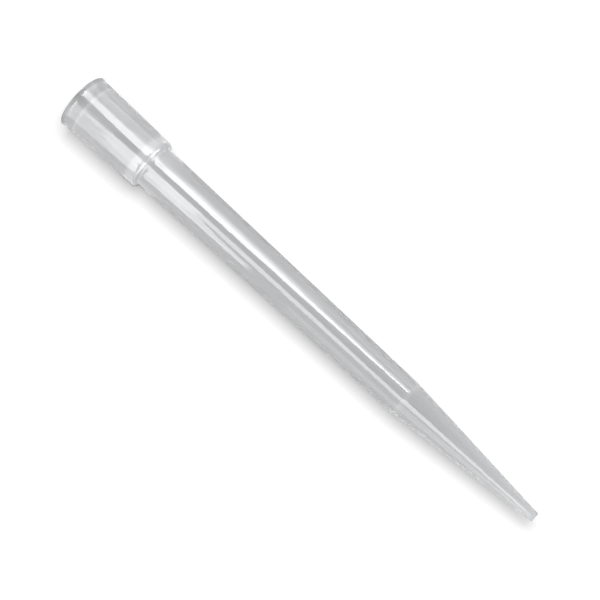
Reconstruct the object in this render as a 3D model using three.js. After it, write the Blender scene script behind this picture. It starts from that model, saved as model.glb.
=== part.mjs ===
// Macro pipette tip for 5 mL: one thin-walled polypropylene moulding, open at both ends.
// Millimetres. The tip stands on its mouth: the origin is the mouth's centre and +Z is the
// tip's axis, pointing at the outlet. The whole solid is one closed profile turned about
// that axis, outside wall first and bore second.

import * as THREE from "three";
import { mergeVertices } from "three/addons/utils/BufferGeometryUtils.js";

// ---- Driving dimensions, outside -------------------------------------------------------
const TIP_LENGTH = 150;
const RIM_RADIUS = 7.62; // flared lip round the mouth
const LIP_HEIGHT = 0.3; // the straight part of the lip
const LIP_RUN_OUT = 0.8; // the lip falls back to the collar over this height
const COLLAR_TOP_RADIUS = 7.41; // just above the lip
const COLLAR_END_RADIUS = 6.92;
const SHOULDER_HEIGHT = 24.7; // the face where the collar steps down to the body
const SHOULDER_ROUND = 0.95; // radius of the collar's lower corner
const BODY_START_RADIUS = 5.79;
const BODY_FILLET = 0.25; // inside corner between shoulder and body
const BREAK_HEIGHT = 108.6; // the long body ends and the steeper nose starts
const BREAK_RADIUS = 4.77;
const OUTLET_RADIUS = 1.29;
const EDGE_ROUND = 0.12; // softened edges of the rim and of the outlet

// ---- Driving dimensions, bore ----------------------------------------------------------
const MOUTH_BORE_RADIUS = 6.78;
const LEAD_IN_DEPTH = 3.7; // a wide cone that guides the pipette's shaft in
const SEAL_START_RADIUS = 6.32;
const SEAL_DEPTH = 13.6; // the shaft seals on this cone and stops at its lower end
const SEAL_END_RADIUS = 6.12;
const SEAL_STEP = 0.14; // the socket is a little narrower below the seal
const SOCKET_END_RADIUS = 5.86;
const SOCKET_FLOOR = 23.4; // the socket's floor round the body's bore
const SOCKET_ROUND = 0.6; // radius between the socket's wall and its floor
const BORE_START_RADIUS = 4.88;
const BORE_ENTRY_ROUND = 0.3; // softened edge where the body's bore starts
const BORE_BREAK_HEIGHT = 109.4;
const BORE_BREAK_RADIUS = 3.92;
const OUTLET_BORE_RADIUS = 0.8;

// ---- Fineness --------------------------------------------------------------------------
const TURN_STEPS = 48; // flats round the axis
const ROUND_STEPS = 4; // chords in a quarter round
const CLOSE_ENOUGH = 1e-4; // vertices nearer than this are one

// A point of the profile: distance from the axis and height.
function at(radius, height) {
  return new THREE.Vector2(radius, height);
}

// The points of a round corner of the given radius about a centre, from one angle to another.
// Angles are in degrees: 0 points away from the axis and 90 points up.
function corner(centreRadius, centreHeight, round, fromDegrees, toDegrees) {
  const points = [];
  for (let i = 0; i <= ROUND_STEPS; i += 1) {
    const degrees = fromDegrees + ((toDegrees - fromDegrees) * i) / ROUND_STEPS;
    const angle = THREE.MathUtils.degToRad(degrees);
    points.push(at(centreRadius + round * Math.cos(angle), centreHeight + round * Math.sin(angle)));
  }
  return points;
}

// The outside wall, from the flat of the rim up to the outlet's face.
function outsideWall() {
  return [
    at(RIM_RADIUS - EDGE_ROUND, 0),
    at(RIM_RADIUS, EDGE_ROUND),
    at(RIM_RADIUS, LIP_HEIGHT),
    at(COLLAR_TOP_RADIUS, LIP_HEIGHT + LIP_RUN_OUT),
    ...corner(COLLAR_END_RADIUS - SHOULDER_ROUND, SHOULDER_HEIGHT - SHOULDER_ROUND, SHOULDER_ROUND, 0, 90),
    ...corner(BODY_START_RADIUS + BODY_FILLET, SHOULDER_HEIGHT + BODY_FILLET, BODY_FILLET, 270, 180),
    at(BREAK_RADIUS, BREAK_HEIGHT),
    at(OUTLET_RADIUS, TIP_LENGTH - EDGE_ROUND),
    at(OUTLET_RADIUS - EDGE_ROUND, TIP_LENGTH),
  ];
}

// The bore, from the outlet's face back down to the mouth.
function boreWall() {
  return [
    at(OUTLET_BORE_RADIUS, TIP_LENGTH),
    at(BORE_BREAK_RADIUS, BORE_BREAK_HEIGHT),
    at(BORE_START_RADIUS, SOCKET_FLOOR + BORE_ENTRY_ROUND),
    at(BORE_START_RADIUS + BORE_ENTRY_ROUND, SOCKET_FLOOR),
    ...corner(SOCKET_END_RADIUS - SOCKET_ROUND, SOCKET_FLOOR - SOCKET_ROUND, SOCKET_ROUND, 90, 0),
    at(SEAL_END_RADIUS - SEAL_STEP, SEAL_DEPTH + SEAL_STEP),
    at(SEAL_END_RADIUS, SEAL_DEPTH),
    at(SEAL_START_RADIUS, LEAD_IN_DEPTH),
    at(MOUTH_BORE_RADIUS, 0),
  ];
}

// Turns the closed profile about the axis and joins the vertices along its seams.
function turned(profile) {
  const lathe = new THREE.LatheGeometry([...profile, profile[0].clone()], TURN_STEPS);
  lathe.deleteAttribute("normal");
  lathe.deleteAttribute("uv");
  lathe.rotateX(Math.PI / 2);
  const joined = mergeVertices(lathe, CLOSE_ENOUGH);
  joined.computeVertexNormals();
  return joined;
}

// Natural polypropylene: clear enough to read a level through, with a milky haze.
const naturalPolypropylene = new THREE.MeshStandardMaterial({
  color: 0xe4e6e8,
  roughness: 0.22,
  metalness: 0,
  transparent: true,
  opacity: 0.45,
});

const pipetteTip = new THREE.Mesh(turned([...outsideWall(), ...boreWall()]), naturalPolypropylene);
pipetteTip.name = "pipette_tip";

const tip = new THREE.Group();
tip.add(pipetteTip);

export default tip;
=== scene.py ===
# %% [markdown]
# # A moulded pipette tip
# A macro pipette tip for 5 mL is one thin-walled moulding in natural polypropylene. It has a
# wide smooth collar that takes the pipette's shaft, a long body that tapers very slightly,
# and a steeper nose that ends in a fine outlet. Everything about it is round, so its whole
# shape is one closed outline turned about the axis. The tip stands on its mouth, with the
# outlet up, in metres, in the same place as the engineering model.

# %% Load the frame
import math

import bmesh
import bpy
from mathutils import Matrix, Vector


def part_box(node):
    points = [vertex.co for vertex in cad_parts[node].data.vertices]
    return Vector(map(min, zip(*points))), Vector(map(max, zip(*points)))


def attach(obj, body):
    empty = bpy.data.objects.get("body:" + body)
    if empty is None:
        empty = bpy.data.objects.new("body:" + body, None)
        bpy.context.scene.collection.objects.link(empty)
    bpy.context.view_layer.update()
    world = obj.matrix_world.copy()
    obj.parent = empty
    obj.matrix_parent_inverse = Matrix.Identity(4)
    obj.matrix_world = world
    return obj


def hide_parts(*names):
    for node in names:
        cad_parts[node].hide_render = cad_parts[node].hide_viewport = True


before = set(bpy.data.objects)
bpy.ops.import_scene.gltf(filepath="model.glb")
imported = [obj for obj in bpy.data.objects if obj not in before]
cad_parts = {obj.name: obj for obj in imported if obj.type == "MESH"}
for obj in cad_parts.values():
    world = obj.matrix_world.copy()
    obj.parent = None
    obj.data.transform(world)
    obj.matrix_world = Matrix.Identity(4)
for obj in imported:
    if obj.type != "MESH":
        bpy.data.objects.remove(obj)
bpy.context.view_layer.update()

MM = 0.001  # one millimetre, in Blender's metres
WHITE = (1, 1, 1, 1)
BLACK = (0, 0, 0, 1)

tip_low, tip_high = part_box("pipette_tip")
TIP_LENGTH = (tip_high.z - tip_low.z) / MM
RIM_RADIUS = (tip_high.x - tip_low.x) / 2 / MM
print("length", round(TIP_LENGTH, 2), "mm, rim radius", round(RIM_RADIUS, 2), "mm")

# %% [markdown]
# ## The outside wall
# A mould maker draws the tip as a short list of corners, each with a distance from the axis,
# a height above the rim and the small round that the cutter leaves there. Those three
# numbers are enough here too, because an operator can put the rounds in later. The lip
# flares a little past the collar, so that the tip strips cleanly off the pipette. The
# collar ends in a soft shoulder, and the body's taper breaks where the nose starts.

# %% Corners of the outside wall
# Each corner is (distance from the axis, height above the rim, round), in millimetres.
OUTSIDE = [
    (RIM_RADIUS, 0, 0.2),  # the rim's outer edge
    (RIM_RADIUS, 0.3, 0.06),  # top of the lip's short straight band
    (7.41, 1.1, 0.08),  # the lip has run out into the collar
    (6.92, 24.7, 0.95),  # the shoulder's soft corner
    (5.79, 24.7, 0.25),  # inside corner between shoulder and body
    (4.77, 108.6, 0.25),  # the taper breaks into the nose
    (1.29, TIP_LENGTH, 0.12),  # the outlet's outer edge
]
print(len(OUTSIDE), "corners outside")

# %% [markdown]
# ## The bore
# Inside, a lead-in cone guides the pipette's shaft to the cone that it seals on. A small
# step follows, then the socket's floor, where the bore narrows to the wall of the body. The
# rings that these steps draw round the collar are seen through the clear wall, so they are
# worth modelling although they are only tenths of a millimetre deep.

# %% Corners of the bore
BORE = [
    (0.80, TIP_LENGTH, 0.06),  # the outlet's inner edge
    (3.92, 109.4, 0.25),  # the bore's own taper break
    (4.88, 23.4, 0.3),  # where the body's bore starts
    (5.86, 23.4, 0.6),  # between the socket's wall and its floor
    (5.98, 13.74, 0.05),  # foot of the small step
    (6.12, 13.6, 0.05),  # lower end of the sealing cone
    (6.32, 3.7, 0.1),  # the lead-in meets the sealing cone
    (6.78, 0, 0.05),  # the rim's inner edge
]
print(len(BORE), "corners in the bore")

# %% [markdown]
# ## Turning the outline
# The outline could be built as a curve with a Screw modifier, but a spin in a bmesh gives
# the finished mesh at once and closes on itself when it is told to merge. The outline is a
# closed ring of edges, outside wall first and bore second, so the spin makes one watertight
# skin with an inside and an outside. Many steps are used because a clear part shows its
# facets twice, once on each wall.

# %% Spin the closed outline about the axis
TURN_STEPS = 256
SAME_POINT = 1e-7  # metres: vertices nearer than this are one

work = bmesh.new()
outline = [work.verts.new((radius * MM, 0, height * MM)) for radius, height, _ in OUTSIDE + BORE]
outline_edges = [work.edges.new(pair) for pair in zip(outline, outline[1:] + outline[:1])]
bmesh.ops.spin(
    work, geom=outline + outline_edges, cent=(0, 0, 0), axis=(0, 0, 1),
    angle=math.tau, steps=TURN_STEPS, use_merge=True, use_duplicate=False,
)
bmesh.ops.remove_doubles(work, verts=work.verts, dist=SAME_POINT)
print("turned:", len(work.verts), "vertices,", len(work.faces), "faces")

# %% [markdown]
# ## Rounding the corners
# No moulded edge is sharp, and every round catches a thin line of light. Each corner of the
# outline has become a ring of edges, so one bevel per ring gives it its own round. The ring
# is found by where it is, not by an index, because every bevel renumbers the mesh.

# %% Bevel each ring of edges
ROUND_SEGMENTS = 4
ON_THE_RING = 1e-3  # millimetres: how far off a vertex may be


def ring_edges(radius, height):
    """The edges that run round the tip at this distance from the axis and this height."""
    def on_ring(vert):
        out = math.hypot(vert.co.x, vert.co.y) / MM
        return abs(out - radius) < ON_THE_RING and abs(vert.co.z / MM - height) < ON_THE_RING
    return [edge for edge in work.edges if all(on_ring(vert) for vert in edge.verts)]


for radius, height, rounding in OUTSIDE + BORE:
    bmesh.ops.bevel(
        work, geom=ring_edges(radius, height), offset=rounding * MM, offset_type="OFFSET",
        affect="EDGES", segments=ROUND_SEGMENTS, profile=0.5, material=-1,
    )
print("rounded:", len(work.verts), "vertices")

# %% [markdown]
# ## Even faces along the length
# The body's faces are now 80 mm long and a fraction of a millimetre wide. Smooth shading
# and baked finishes both suffer on such slivers, so level cuts are made all the way up.
# The cuts lie in the wall's own surface and change nothing in the shape.

# %% Cut the walls into short bands
BAND = 3.0  # mm between cuts
FIRST_CUT = 2.0

for i in range(int((TIP_LENGTH - FIRST_CUT) / BAND) + 1):
    everything = work.verts[:] + work.edges[:] + work.faces[:]
    bmesh.ops.bisect_plane(
        work, geom=everything, dist=SAME_POINT,
        plane_co=(0, 0, (FIRST_CUT + i * BAND) * MM), plane_no=(0, 0, 1),
    )
bmesh.ops.recalc_face_normals(work, faces=work.faces)
if work.calc_volume(signed=True) < 0:
    bmesh.ops.reverse_faces(work, faces=work.faces)
for face in work.faces:
    face.smooth = True
print("cut:", len(work.faces), "faces, plastic", round(work.calc_volume() / MM**3), "mm3")

# %% Make the piece
tip_mesh = bpy.data.meshes.new("moulded_tip")
work.to_mesh(tip_mesh)
work.free()
tip = bpy.data.objects.new("moulded_tip", tip_mesh)
bpy.context.scene.collection.objects.link(tip)
tip_mesh.calc_loop_triangles()
print("moulded_tip:", len(tip_mesh.loop_triangles), "triangles")

# %% [markdown]
# ## Natural polypropylene
# Undyed polypropylene is clear with a slight milky haze, because its crystals scatter a
# part of the light. Plain glass would look too empty and a translucent paint too dead, so
# the Principled shader gets about two thirds of clear transmission, and the rest stays as
# white scatter. The polished mould gives the skin a sharp gloss, while light that goes
# through is blurred by the haze. One roughness can't do both, so the blur is the base
# roughness, its own reflection is turned off, and a sharp coat gives the gloss.

# %% Start the material
RESIN_IOR = 1.49
CLEAR_SHARE = 0.65
HAZE_BLUR = 0.31  # base roughness: how much the haze blurs what is seen through the wall
GLOSS_BLUR = 0.04  # coat roughness: nearly a mirror

plastic = bpy.data.materials.new("natural_polypropylene")
plastic.use_nodes = True
nodes = plastic.node_tree.nodes
links = plastic.node_tree.links
nodes.clear()
surface = nodes.new("ShaderNodeOutputMaterial")
resin = nodes.new("ShaderNodeBsdfPrincipled")
resin.inputs["IOR"].default_value = RESIN_IOR
resin.inputs["Transmission Weight"].default_value = CLEAR_SHARE
resin.inputs["Specular IOR Level"].default_value = 0.0
resin.inputs["Specular Tint"].default_value = BLACK
resin.inputs["Coat Weight"].default_value = 1.0
resin.inputs["Coat Roughness"].default_value = GLOSS_BLUR
print("resin is", round(100 * CLEAR_SHARE), "percent clear")

# %% [markdown]
# ## How milky the wall is, from end to end, with painted light and shade
# The haze isn't the same everywhere: the sealing cone, the socket and the body each have
# their own tone. On top of that the ramp paints light and shade that the lamps don't make: a
# painted dark band on the lip with a painted bright line above it, a lead-in painted
# darker that ends in a painted dark and bright ring, a painted pale glow on the web under
# the shoulder, where the plastic is thickest, a painted bright ring where the taper breaks,
# and a nose painted lighter toward the outlet. All of it depends only on the height, so a
# colour ramp over the object's own Z paints it, and it stays put when the tip moves.

# %% Milkiness along the axis
# Each stop is (height in mm, how light the plastic is there, from 0 to 1); several stops are
# painted light or painted shade.
HAZE_AND_PAINTED_LIGHT = [
    # Painted shade: a dark band on the lip, then a painted highlight: a thin bright line above it.
    (0.0, 0.5), (0.85, 0.5), (0.93, 1.0), (1.1, 1.0),  # rim and lip
    # Painted shade: the lead-in is painted darker than the sealing cone.
    (1.16, 0.67), (3.55, 0.73),  # lead-in
    # A painted dark ring and a painted bright ring where the lead-in ends.
    (3.62, 0.62), (3.76, 0.62), (3.82, 1.0), (4.08, 1.0),  # dark and light ring at its end
    (4.16, 0.81), (13.3, 0.80),  # sealing cone
    (14.0, 0.77), (21.0, 0.78),  # socket
    # Painted light: the pale glow on the web under the shoulder.
    (21.3, 0.99), (24.6, 0.99),  # thick web under the shoulder
    (25.1, 0.79), (45, 0.775), (75, 0.77), (98, 0.77), (108.3, 0.765),  # body
    # A painted bright ring where the taper breaks.
    (108.7, 0.86), (109.3, 0.86), (109.7, 0.76),  # ring where the taper breaks
    # Painted light: the nose grows lighter toward the outlet, where the shade behind it is
    # lighter.
    (135, 0.81), (150, 0.86),  # nose
]
RAMP_END = 150.0  # mm: the ramp's full length
COOL_TINT = (1.0, 1.0075, 1.0225)  # the haze scatters blue a touch more than red

place = nodes.new("ShaderNodeTexCoord")
axes = nodes.new("ShaderNodeSeparateXYZ")
links.new(place.outputs["Object"], axes.inputs["Vector"])
height_share = nodes.new("ShaderNodeMapRange")
height_share.inputs["From Min"].default_value = 0
height_share.inputs["From Max"].default_value = RAMP_END * MM
links.new(axes.outputs["Z"], height_share.inputs["Value"])
haze_and_painted_light_ramp = nodes.new("ShaderNodeValToRGB")
stops = haze_and_painted_light_ramp.color_ramp.elements
stops.remove(stops[0])
for i, (at_height, tone) in enumerate(HAZE_AND_PAINTED_LIGHT):
    stop = stops[0] if i == 0 else stops.new(at_height / RAMP_END)
    stop.position = at_height / RAMP_END
    stop.color = (*(tone * share for share in COOL_TINT), 1)
links.new(height_share.outputs["Result"], haze_and_painted_light_ramp.inputs["Fac"])
print(len(stops), "stops of milkiness")

# %% [markdown]
# ## Flow streaks
# Hot plastic enters the mould at one end and freezes as it runs, which leaves very faint
# streaks along the tip, about a millimetre wide and centimetres long. A noise pattern
# stretched along Z does this: across the wall it changes quickly, along it hardly at all.
# It touches three things, all slightly: the tone of the haze, the blur of the wall and the
# height of the surface, so the streaks also bend the light that comes through.

# %% Streaks in tone, blur and surface
STREAKS_PER_METRE = 700
STREAK_STRETCH = 0.03  # the pattern is this much slower along the tip than across it
STREAK_DETAIL = 3  # finer layers of noise on top of the first
NOISE_LOW, NOISE_HIGH = 0.3, 0.7  # nearly all of the noise lies between these
TONE_SWING = 0.05
BLUR_SWING = 0.04
STREAK_HEIGHT = 0.004 * MM

stretch = nodes.new("ShaderNodeMapping")
stretch.inputs["Scale"].default_value = (1, 1, STREAK_STRETCH)
links.new(place.outputs["Object"], stretch.inputs["Vector"])
streaks = nodes.new("ShaderNodeTexNoise")
streaks.inputs["Scale"].default_value = STREAKS_PER_METRE
streaks.inputs["Detail"].default_value = STREAK_DETAIL
links.new(stretch.outputs["Vector"], streaks.inputs["Vector"])


def streaked(middle_value, whole_swing):
    """A value that swings with the streaks, half up and half down from its middle."""
    swing = nodes.new("ShaderNodeMapRange")
    swing.inputs["From Min"].default_value = NOISE_LOW
    swing.inputs["From Max"].default_value = NOISE_HIGH
    swing.inputs["To Min"].default_value = middle_value - whole_swing / 2
    swing.inputs["To Max"].default_value = middle_value + whole_swing / 2
    links.new(streaks.outputs["Fac"], swing.inputs["Value"])
    return swing.outputs["Result"]


shaded = nodes.new("ShaderNodeMix")
shaded.data_type = "RGBA"
shaded.blend_type = "MULTIPLY"
shaded.inputs["Factor"].default_value = 1.0
links.new(haze_and_painted_light_ramp.outputs["Color"], shaded.inputs["A"])
links.new(streaked(1, TONE_SWING), shaded.inputs["B"])
links.new(shaded.outputs["Result"], resin.inputs["Base Color"])
links.new(streaked(HAZE_BLUR, BLUR_SWING), resin.inputs["Roughness"])
ripple = nodes.new("ShaderNodeBump")
ripple.inputs["Distance"].default_value = STREAK_HEIGHT
links.new(streaks.outputs["Fac"], ripple.inputs["Height"])
links.new(ripple.outputs["Normal"], resin.inputs["Normal"])
print("streaks", round(1000 / STREAKS_PER_METRE, 2), "mm apart")

# %% [markdown]
# ## Shadow and surroundings
# A render engine lets no light straight through a glass-like wall, so a clear tip would
# throw a shadow as black as a steel one. The usual way round this is to let shadow rays see
# a plain tinted transparency instead of the glass: the shadow stays, as soft grey as a
# hazy tube's. Light that bounces off the sheet behind is treated in the same way.

# %% Mix in the light path
SHADOW_TINT = (0.36, 0.365, 0.37, 1)  # what each face of a wall lets through to the sheet
BOUNCE_TINT = (0.9, 0.9, 0.9, 1)


def pass_through(tint):
    """A plain transparency of the given tint."""
    window = nodes.new("ShaderNodeBsdfTransparent")
    window.inputs["Color"].default_value = tint
    return window.outputs["BSDF"]


def switch(ray, otherwise, then):
    """Shader `then` for rays of one kind and shader `otherwise` for the rest."""
    mix = nodes.new("ShaderNodeMixShader")
    links.new(rays.outputs[ray], mix.inputs[0])
    links.new(otherwise, mix.inputs[1])
    links.new(then, mix.inputs[2])
    return mix.outputs["Shader"]


rays = nodes.new("ShaderNodeLightPath")
bounced = switch("Is Diffuse Ray", resin.outputs["BSDF"], pass_through(BOUNCE_TINT))
finished = switch("Is Shadow Ray", bounced, pass_through(SHADOW_TINT))
links.new(finished, surface.inputs["Surface"])
print("shadow lets through", round(100 * SHADOW_TINT[0] ** 2), "percent at a single wall")

# %% [markdown]
# ## Depth of the plastic
# Where light travels a long way inside the wall, as it does along the tip's edges, it
# comes out a little greyer. A volume absorption inside the skin does that in proportion to
# the distance, which no surface colour can.

# %% Absorption in the wall
ABSORBED_PER_MM = 0.025
DEPTH_TINT = (0.5, 0.505, 0.51, 1)  # red is held back a little more than blue

depth = nodes.new("ShaderNodeVolumeAbsorption")
depth.inputs["Color"].default_value = DEPTH_TINT
depth.inputs["Density"].default_value = ABSORBED_PER_MM / (1 - DEPTH_TINT[0]) / MM
links.new(depth.outputs["Volume"], surface.inputs["Volume"])
print("absorbs", ABSORBED_PER_MM, "per mm")

# %% Put the finish on the piece and the piece on its body
tip_mesh.materials.append(plastic)
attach(tip, "root")
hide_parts("pipette_tip")
print("moulded_tip stands for pipette_tip and rides on root")

# %% [markdown]
# ## The camera
# The tip is seen from the side and slightly from the outlet's end, and the camera is rolled
# so that the tip runs from the upper left of the picture down to the lower right. A long
# lens keeps the collar and the outlet at nearly the same scale.

# %% Camera
CAMERA_OUT = 476.3  # mm from the axis
CAMERA_UP = 150.0
CAMERA_SIDE = -0.24
AIM_HEIGHT = 73.72
CAMERA_ROLL = math.radians(42.65)
LENS = 120  # mm
SENSOR_WIDTH = 36  # mm

camera_data = bpy.data.cameras.new("camera")
camera_data.lens = LENS
camera_data.sensor_width = SENSOR_WIDTH
camera = bpy.data.objects.new("camera", camera_data)
bpy.context.scene.collection.objects.link(camera)
stands_at = Vector((CAMERA_SIDE, -CAMERA_OUT, CAMERA_UP)) * MM
looks_at = Vector((CAMERA_SIDE, 0, AIM_HEIGHT)) * MM
view_line = (looks_at - stands_at).normalized()
level_right = view_line.cross(Vector((0, 0, 1))).normalized()
level_up = level_right.cross(view_line)
picture_right = math.cos(CAMERA_ROLL) * level_up - math.sin(CAMERA_ROLL) * level_right
picture_up = -math.sin(CAMERA_ROLL) * level_up - math.cos(CAMERA_ROLL) * level_right
placed = Matrix((picture_right, picture_up, -view_line)).transposed().to_4x4()
placed.translation = stands_at
camera.matrix_world = placed
bpy.context.scene.camera = camera
print("camera", round((looks_at - stands_at).length / MM), "mm away")

# %% [markdown]
# ## The white sheet
# The tip is shown lying on white paper. Here it stands on its mouth, so the paper stands
# too: it is the scene's floor, turned upright, parallel to the axis and just touching the
# lip. It takes the tip's soft shadow. Its colour is a pale paper white, and rays from the
# camera, from gloss and through the clear wall also see a small glow, which brings the lit
# paper to clean white without more light on the tip. From behind it is see-through, so
# that it doesn't hide the tip from there.

# %% Helpers for the stage
def stage_sheet(name, corners, material):
    """A flat sheet with the given corners in mm, which isn't part of the object."""
    mesh = bpy.data.meshes.new(name)
    mesh.from_pydata([corner * MM for corner in corners], [], [range(len(corners))])
    sheet = bpy.data.objects.new(name, mesh)
    bpy.context.scene.collection.objects.link(sheet)
    mesh.materials.append(material)
    return sheet


def upright(across, heights, behind):
    """The corners in mm of an upright rectangle that far behind the axis."""
    (start, end), (low, high) = across, heights
    return [
        Vector((x, behind, z)) for x, z in ((start, low), (end, low), (end, high), (start, high))
    ]


def seen_directly(tree):
    """1 for rays from the camera, from gloss or through clear plastic, and 0 for others."""
    path = tree.nodes.new("ShaderNodeLightPath")
    seen = path.outputs["Is Camera Ray"]
    for ray in ("Is Glossy Ray", "Is Transmission Ray"):
        either = tree.nodes.new("ShaderNodeMath")
        either.operation = "MAXIMUM"
        tree.links.new(seen, either.inputs[0])
        tree.links.new(path.outputs[ray], either.inputs[1])
        seen = either.outputs["Value"]
    return seen


print("helpers: stage_sheet, upright, seen_directly")

# %% The sheet
PAPER_WHITE = (0.9, 0.9, 0.9, 1)
PAPER_GLOW = 0.20
SHEET_REACH = 900  # mm from the tip's middle to the sheet's edge
SHEET_BACK = RIM_RADIUS  # the sheet touches the lip

paper = bpy.data.materials.new("white_paper")
paper.use_nodes = True
tree = paper.node_tree
tree.nodes.clear()
paper_out = tree.nodes.new("ShaderNodeOutputMaterial")
fibre = tree.nodes.new("ShaderNodeBsdfDiffuse")
fibre.inputs["Color"].default_value = PAPER_WHITE
glow_level = tree.nodes.new("ShaderNodeMath")
glow_level.operation = "MULTIPLY"
glow_level.inputs[1].default_value = PAPER_GLOW
tree.links.new(seen_directly(tree), glow_level.inputs[0])
glow = tree.nodes.new("ShaderNodeEmission")
tree.links.new(glow_level.outputs["Value"], glow.inputs["Strength"])
lit = tree.nodes.new("ShaderNodeAddShader")
tree.links.new(fibre.outputs["BSDF"], lit.inputs[0])
tree.links.new(glow.outputs["Emission"], lit.inputs[1])
side_seen = tree.nodes.new("ShaderNodeNewGeometry")
unseen = tree.nodes.new("ShaderNodeBsdfTransparent")
one_sided = tree.nodes.new("ShaderNodeMixShader")
tree.links.new(side_seen.outputs["Backfacing"], one_sided.inputs[0])
tree.links.new(lit.outputs["Shader"], one_sided.inputs[1])
tree.links.new(unseen.outputs["BSDF"], one_sided.inputs[2])
tree.links.new(one_sided.outputs["Shader"], paper_out.inputs["Surface"])
paper.cycles.emission_sampling = "NONE"

sheet_low = TIP_LENGTH / 2 - SHEET_REACH
sheet_high = TIP_LENGTH / 2 + SHEET_REACH
stage_sheet(
    "floor_sheet",
    upright((-SHEET_REACH, SHEET_REACH), (sheet_low, sheet_high), SHEET_BACK),
    paper,
)
print("sheet stands", round(SHEET_BACK, 2), "mm behind the axis")

# %% [markdown]
# ## The room
# A plain white room lights the tip evenly from all sides. Rays that reach it directly see
# full white, so the background is white from every side, and the light that it gives is
# set apart from that and kept low enough for a colour to come out as it is written.

# %% World
ROOM_LIGHT = 0.31  # what it gives as a light
ROOM_SEEN = 1.0  # what the eye sees

room = bpy.data.worlds.new("white_room")
bpy.context.scene.world = room
room.use_nodes = True
tree = room.node_tree
tree.nodes.clear()
room_out = tree.nodes.new("ShaderNodeOutputWorld")
lights = tree.nodes.new("ShaderNodeBackground")
lights.inputs["Color"].default_value = WHITE
lights.inputs["Strength"].default_value = ROOM_LIGHT
shows = tree.nodes.new("ShaderNodeBackground")
shows.inputs["Color"].default_value = WHITE
shows.inputs["Strength"].default_value = ROOM_SEEN
either = tree.nodes.new("ShaderNodeMixShader")
tree.links.new(seen_directly(tree), either.inputs[0])
tree.links.new(lights.outputs["Background"], either.inputs[1])
tree.links.new(shows.outputs["Background"], either.inputs[2])
tree.links.new(either.outputs["Shader"], room_out.inputs["Surface"])
print("room light", ROOM_LIGHT)

# %% [markdown]
# ## Two soft lamps
# A wide key lamp close to the tip and a weaker fill from the other side light the paper and
# the haze, and the key draws the soft shadow along one side. Neither is seen in the gloss:
# what the gloss shows is placed one by one in the next step, which keeps the two jobs apart.
# Directions are given round the tip, in degrees: azimuth from straight in front, positive
# toward -X, and elevation from the tip's middle.

# %% Lamps
PIVOT = 75.0  # mm: elevations are measured from this height on the axis


def direction(azimuth, elevation, distance):
    """The point in mm at this azimuth and elevation on an upright cylinder round the tip."""
    turn = math.radians(azimuth)
    rise = distance * math.tan(math.radians(elevation))
    return Vector((-distance * math.sin(turn), -distance * math.cos(turn), PIVOT + rise))


def soft_lamp(name, azimuths, elevations, distance, radiance):
    """A rectangular area lamp that fills these azimuths and elevations as seen from the tip."""
    lamp_data = bpy.data.lights.new(name, "AREA")
    lamp_data.shape = "RECTANGLE"
    half_width = math.radians((azimuths[1] - azimuths[0]) / 2)
    lamp_data.size = 2 * distance * math.tan(half_width) * MM
    centre_azimuth = sum(azimuths) / 2
    low, high = (direction(centre_azimuth, elevation, distance) for elevation in elevations)
    lamp_data.size_y = (high.z - low.z) * MM
    lamp_data.energy = radiance * math.pi * lamp_data.size * lamp_data.size_y  # watts
    lamp = bpy.data.objects.new(name, lamp_data)
    bpy.context.scene.collection.objects.link(lamp)
    lamp.location = (low + high) / 2 * MM
    lamp.rotation_euler = (math.radians(90), 0, -math.radians(centre_azimuth))
    lamp.visible_camera = False
    lamp.visible_glossy = False
    lamp.visible_transmission = False
    return lamp


key = soft_lamp(
    "key_lamp", azimuths=(0, 30), elevations=(-15, 18), distance=450, radiance=7.5,
)
fill = soft_lamp(
    "fill_lamp", azimuths=(-88, -58), elevations=(-12, 8), distance=1500, radiance=6.0,
)
print("key", round(key.data.energy, 2), "W, fill", round(fill.data.energy, 2), "W")

# %% [markdown]
# ## What the gloss reflects
# A glossy tube is a mirror that squeezes the whole room into its width, so its stripes are
# pictures of what stands round it. In a studio they are shaped with softboxes, reflectors
# and black cards. The same is done here with glowing sheets that only gloss can see: they
# are drawn as patches with given corners, so that a stripe can start, stop or fade at the
# place where its patch does. They light nothing else.

# %% A patch that only gloss sees
PATCH_DISTANCE = 1500  # mm
PATCH_LEVEL = 1.45  # scales all the patches together


def glow_material(name, strength):
    """A black sheet with a plain glow that isn't used as a lamp."""
    material = bpy.data.materials.new(name)
    material.use_nodes = True
    shader = material.node_tree.nodes["Principled BSDF"]
    shader.inputs["Base Color"].default_value = BLACK
    shader.inputs["Specular IOR Level"].default_value = 0
    shader.inputs["Emission Color"].default_value = WHITE
    shader.inputs["Emission Strength"].default_value = strength
    material.cycles.emission_sampling = "NONE"
    return material


def show_only(sheet, in_gloss=True, through_wall=False):
    """Hides a stage sheet from all but glossy reflections, the clear wall, or both."""
    sheet.visible_camera = False
    sheet.visible_diffuse = False
    sheet.visible_shadow = False
    sheet.visible_glossy = in_gloss
    sheet.visible_transmission = through_wall


def patches(name, list_of_patches):
    """Places glowing patches: each is its corners (azimuth, elevation) and its strength."""
    for i, (corners, strength) in enumerate(list_of_patches):
        patch_name = f"{name}_{i}"
        show_only(stage_sheet(
            patch_name,
            [direction(azimuth, elevation, PATCH_DISTANCE) for azimuth, elevation in corners],
            glow_material(patch_name, strength * PATCH_LEVEL),
        ))
    print(name, "has", len(list_of_patches), "patches")


print("helpers: glow_material, show_only, patches")

# %% The main stripe
# The big softbox on the -X side. Its inner edge leans, so the stripe on the collar runs
# closer to the middle than the stripe on the nose, and it ends where the nose starts.
patches("main_softbox", [
    ([(17, -45), (42, -45), (42, -17), (17, -17)], 5.0),
    ([(16, -17), (42, -17), (42, -16), (13, -16)], 6.9),
    ([(12.5, -16), (42, -16), (42, -14.5), (12.5, -14.5)], 7.8),
    ([(14.5, -14.5), (42, -14.5), (42, 3), (40, 3), (31.5, -3.8), (22.8, -7.7), (17, -11.3)], 9.5),
])

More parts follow.
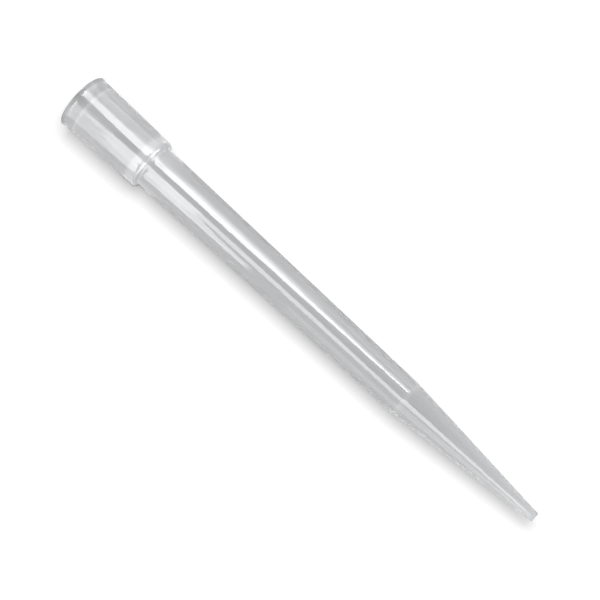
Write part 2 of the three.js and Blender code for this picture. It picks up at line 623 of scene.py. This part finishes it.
# %% Its soft outer edge
# Light that spills past the softbox, in steps, so that the stripe fades out to the side.
patches("softbox_spill", [
    ([(42, -45), (52, -45), (52, -16.8), (42, -16.8)], 1.5),
    ([(42, -16.8), (53, -16.8), (53, -15.8), (42, -15.8)], 2.5),
    ([(42, -15.8), (53, -15.8), (53, -14), (42, -14)], 4.0),
    ([(42, -14), (54, -14), (54, -8), (42, -8)], 5.5),
    ([(42, -8), (54, -8), (52, 3), (42, 3)], 3.8),
    ([(54, -17.3), (90, -17.3), (90, -14.8), (66, -14.8), (66, -15.8), (54, -15.8)], 2.1),
    ([(54, -15.8), (66, -15.8), (66, -7), (54, -7)], 2.3),
])

# %% The stripe on the other side of the middle
# A weaker softbox on the +X side, brighter toward the nose.
patches("second_softbox", [
    ([(-33, -45), (-22, -45), (-21, -17.1), (-33, -17.1)], 2.0),
    ([(-33, -17.1), (-19, -17.1), (-15, -16), (-33, -16)], 4.0),
    ([(-33, -16), (-14, -16), (-12, -14.5), (-33, -14.5)], 5.2),
    ([(-34, -14.5), (-12, -14.5), (-10, -12.4), (-34, -12.4)], 6.0),
    ([(-31, -12.4), (-10, -12.4), (-9.5, -7), (-12.5, -3.5),
      (-12, 2), (-6, 5), (-6, 13), (-31, 13)], 4.4),
])

# %% The broad sheen on the collar
# A wide reflector low on the +X side. It ends in a point, so the sheen tapers off
# along the body.
patches("low_reflector", [
    ([(-44, -45), (-33, -45), (-33, -16.2), (-44, -16.2)], 2.3),
    ([(-64, -45), (-44, -45), (-44, -17), (-64, -17)], 2.2),
    ([(-64, -17), (-44, -17), (-44, -16.2), (-64, -16.2)], 2.9),
    ([(-84, -45), (-64, -45), (-64, -16.2), (-84, -16.2)], 2.5),
    ([(-53, -16.2), (-33, -16.2), (-33, -14.5), (-53, -14.5)], 5.7),
    ([(-80, -16.2), (-53, -16.2), (-53, -14.5), (-76, -14.5)], 4.2),
    ([(-52, -14.5), (-34, -14.5), (-34, -12.7), (-52, -12.7)], 6.4),
    ([(-74, -14.5), (-52, -14.5), (-52, -12.7), (-71, -12.7)], 5.3),
    ([(-71, -12.7), (-34, -12.7), (-45, -11.5), (-47, -9.9), (-69, -10.2)], 4.8),
])

# %% Faint light on the flanks of the nose
patches("far_walls", [
    ([(66, -8), (88, -8), (88, 3), (66, 3)], 1.4),
    ([(-88, -8), (-60, -8), (-60, 3), (-88, 3)], 1.5),
    ([(-88, 3), (-45, 3), (-45, 13), (-88, 13)], 1.9),
    ([(16, 4), (60, 4), (60, 13), (16, 13)], 0.3),
])

# %% The ceiling, seen in the shoulder
# The shoulder's soft corner looks up, so it reflects what hangs overhead. Two sheets with a
# gap that widens upwards carry the stripes and the dark middle across it.
patches("ceiling", [
    ([(16, 14), (75, 14), (80, 45), (20, 45)], 8.0),
    ([(20, 45), (80, 45), (88, 80), (34, 80)], 8.0),
    ([(-75, 14), (-13, 14), (-17, 45), (-80, 45)], 7.0),
    ([(-80, 45), (-17, 45), (-32, 80), (-88, 80)], 7.0),
])

# %% [markdown]
# ## The dark middle line and the darker edges
# A black card in front, between the softboxes, gives the long dark line down the middle. At
# the tip's edges the gloss is strongest and would show the white paper, so grey cards lie
# close beside the tip, on the paper, and hold the edges back. Showing them to gloss alone
# would be the simplest, but near its edges the clear wall bends the view out to the same
# places, so light that comes through the wall sees them too.

# %% Black card
CARD_DISTANCE = 700  # mm in front of the axis
CARD_FROM, CARD_TO = -9, 12.5  # azimuths, positive toward -X
CARD_LOW, CARD_HIGH = -500, 200  # heights in mm
WIDE_BELOW, WIDE_EDGE = -213, -18  # below this height it is wider, for the lip
NARROW_FROM, NARROW_EDGE = 122, -6  # above this height it is narrower, for the nose


def in_front(azimuth, height):
    """A point in mm on the flat plane of the black card."""
    return Vector((-CARD_DISTANCE * math.tan(math.radians(azimuth)), -CARD_DISTANCE, height))


black_card = stage_sheet(
    "black_card",
    [
        in_front(CARD_TO, CARD_LOW), in_front(WIDE_EDGE, CARD_LOW),
        in_front(WIDE_EDGE, WIDE_BELOW), in_front(CARD_FROM, WIDE_BELOW),
        in_front(CARD_FROM, NARROW_FROM), in_front(NARROW_EDGE, NARROW_FROM),
        in_front(NARROW_EDGE, CARD_HIGH), in_front(CARD_TO, CARD_HIGH),
    ],
    glow_material("black_card", 0.0),
)
show_only(black_card)
print("black card spans", CARD_TO - CARD_FROM, "degrees")

# %% Grey edge cards
CARD_LIFT = 0.6  # mm in front of the paper
EDGE_CARDS = [  # from height, to height, nearest and farthest from the axis, grey
    (-1, 2, 7.8, 30, 0.6),  # beside the lip
    (2, 18, 8.0, 30, 0.65),  # beside the collar
    (27, 105, 6.5, 40, 0.5),  # beside the body
    (105, 160, 6.5, 40, 0.8),  # beside the nose
]


def card_on_paper(name, across, heights, material, in_gloss=True):
    """A card that lies on the paper, which the clear wall shows and the gloss may show."""
    card = stage_sheet(name, upright(across, heights, SHEET_BACK - CARD_LIFT), material)
    show_only(card, in_gloss=in_gloss, through_wall=True)


for i, (low, high, near, far, grey) in enumerate(EDGE_CARDS):
    card_grey = glow_material(f"edge_card_{i}", grey)
    card_on_paper(f"edge_card_{i}_left", (-near, -far), (low, high), card_grey)
    card_on_paper(f"edge_card_{i}_right", (near, far), (low, high), card_grey)
print(2 * len(EDGE_CARDS), "edge cards")

# %% [markdown]
# ## Small cards at the shoulder, the mouth, the lip and the outlet
# Four places are left where the tone is plainly wrong. Painting the plastic there would
# show from every side and under every light. These tones are only reflected, as the stripes
# are, or seen through the wall, so a small card in the right place puts each of them right
# and leaves the plastic as it is.

# %% A dark card beside the shoulder
# It lies close beside the collar's end, on the shadow's side, where only the very edge of
# the shoulder reflects it, as a thin dark line.
SHOULDER_CARD_ACROSS = (7.1, 10.5)  # mm from the axis
SHOULDER_CARD_HEIGHTS = (16.5, 25)
SHOULDER_CARD_GREY = 0.1

card_on_paper(
    "shoulder_card", SHOULDER_CARD_ACROSS, SHOULDER_CARD_HEIGHTS,
    glow_material("shoulder_card", SHOULDER_CARD_GREY),
)
print("shoulder card at", SHOULDER_CARD_HEIGHTS, "mm")

# %% A nearly black card behind the mouth
# Through the lead-in's wall the eye looks out of the open mouth, past the back wall. A
# narrow card there carries the dark middle line on to the lip. Only clear plastic shows it.
MOUTH_CARD_ACROSS = (-1.1, 1.6)
MOUTH_CARD_HEIGHTS = (-4.2, -0.6)  # mm: below the rim
MOUTH_CARD_GREY = 0.05

card_on_paper(
    "mouth_card", MOUTH_CARD_ACROSS, MOUTH_CARD_HEIGHTS,
    glow_material("mouth_card", MOUTH_CARD_GREY), in_gloss=False,
)
print("mouth card at", MOUTH_CARD_HEIGHTS, "mm")

# %% A pale card in front of the lip
# The lip's flare looks up and would catch the weaker softbox in a bright spot. The card
# slants like the light that the collar reflects, so the collar sees only its thin edge. A
# black one would show as a dark mark in the body's gloss when the tip is seen from above.
LIP_CARD_NEAR, LIP_CARD_FAR = 3.0, 7.5  # mm in front of the lip
LIP_CARD_TOP, LIP_CARD_SLOPE = 2.4, -0.31
LIP_CARD_FROM, LIP_CARD_TO = 0.2, 5.5  # mm across
LIP_CARD_GREY = 0.8


def on_lip_card(across, out):
    """A point in mm on the slanted plane of the lip's card."""
    drop = LIP_CARD_SLOPE * (out - LIP_CARD_NEAR)
    return Vector((across, -RIM_RADIUS - out, LIP_CARD_TOP + drop))


show_only(stage_sheet(
    "lip_card",
    [
        on_lip_card(LIP_CARD_FROM, LIP_CARD_NEAR), on_lip_card(LIP_CARD_TO, LIP_CARD_NEAR),
        on_lip_card(LIP_CARD_TO, LIP_CARD_FAR), on_lip_card(LIP_CARD_FROM, LIP_CARD_FAR),
    ],
    glow_material("lip_card", LIP_CARD_GREY),
))
print("lip card", LIP_CARD_FAR - LIP_CARD_NEAR, "mm deep")

# %% A grey card over the outlet
# The outlet's end would otherwise mirror the bright ceiling in a few white sparks.
OUTLET_CARD_REACH = 25  # mm to each side
OUTLET_CARD_LIFT = 5  # mm above the outlet
OUTLET_CARD_GREY = 0.5

show_only(stage_sheet(
    "outlet_card",
    [
        Vector((x * OUTLET_CARD_REACH, y * OUTLET_CARD_REACH, TIP_LENGTH + OUTLET_CARD_LIFT))
        for x, y in ((-1, -1), (1, -1), (1, 1), (-1, 1))
    ],
    glow_material("outlet_card", OUTLET_CARD_GREY),
))
print("outlet card", 2 * OUTLET_CARD_REACH, "mm wide")

# %% [markdown]
# ## Finish
# The picture uses the plain Standard view, so a colour comes out as it is written. The
# look has to stay inside the model's box.

# %% Finish
bpy.context.scene.view_settings.view_transform = "Standard"
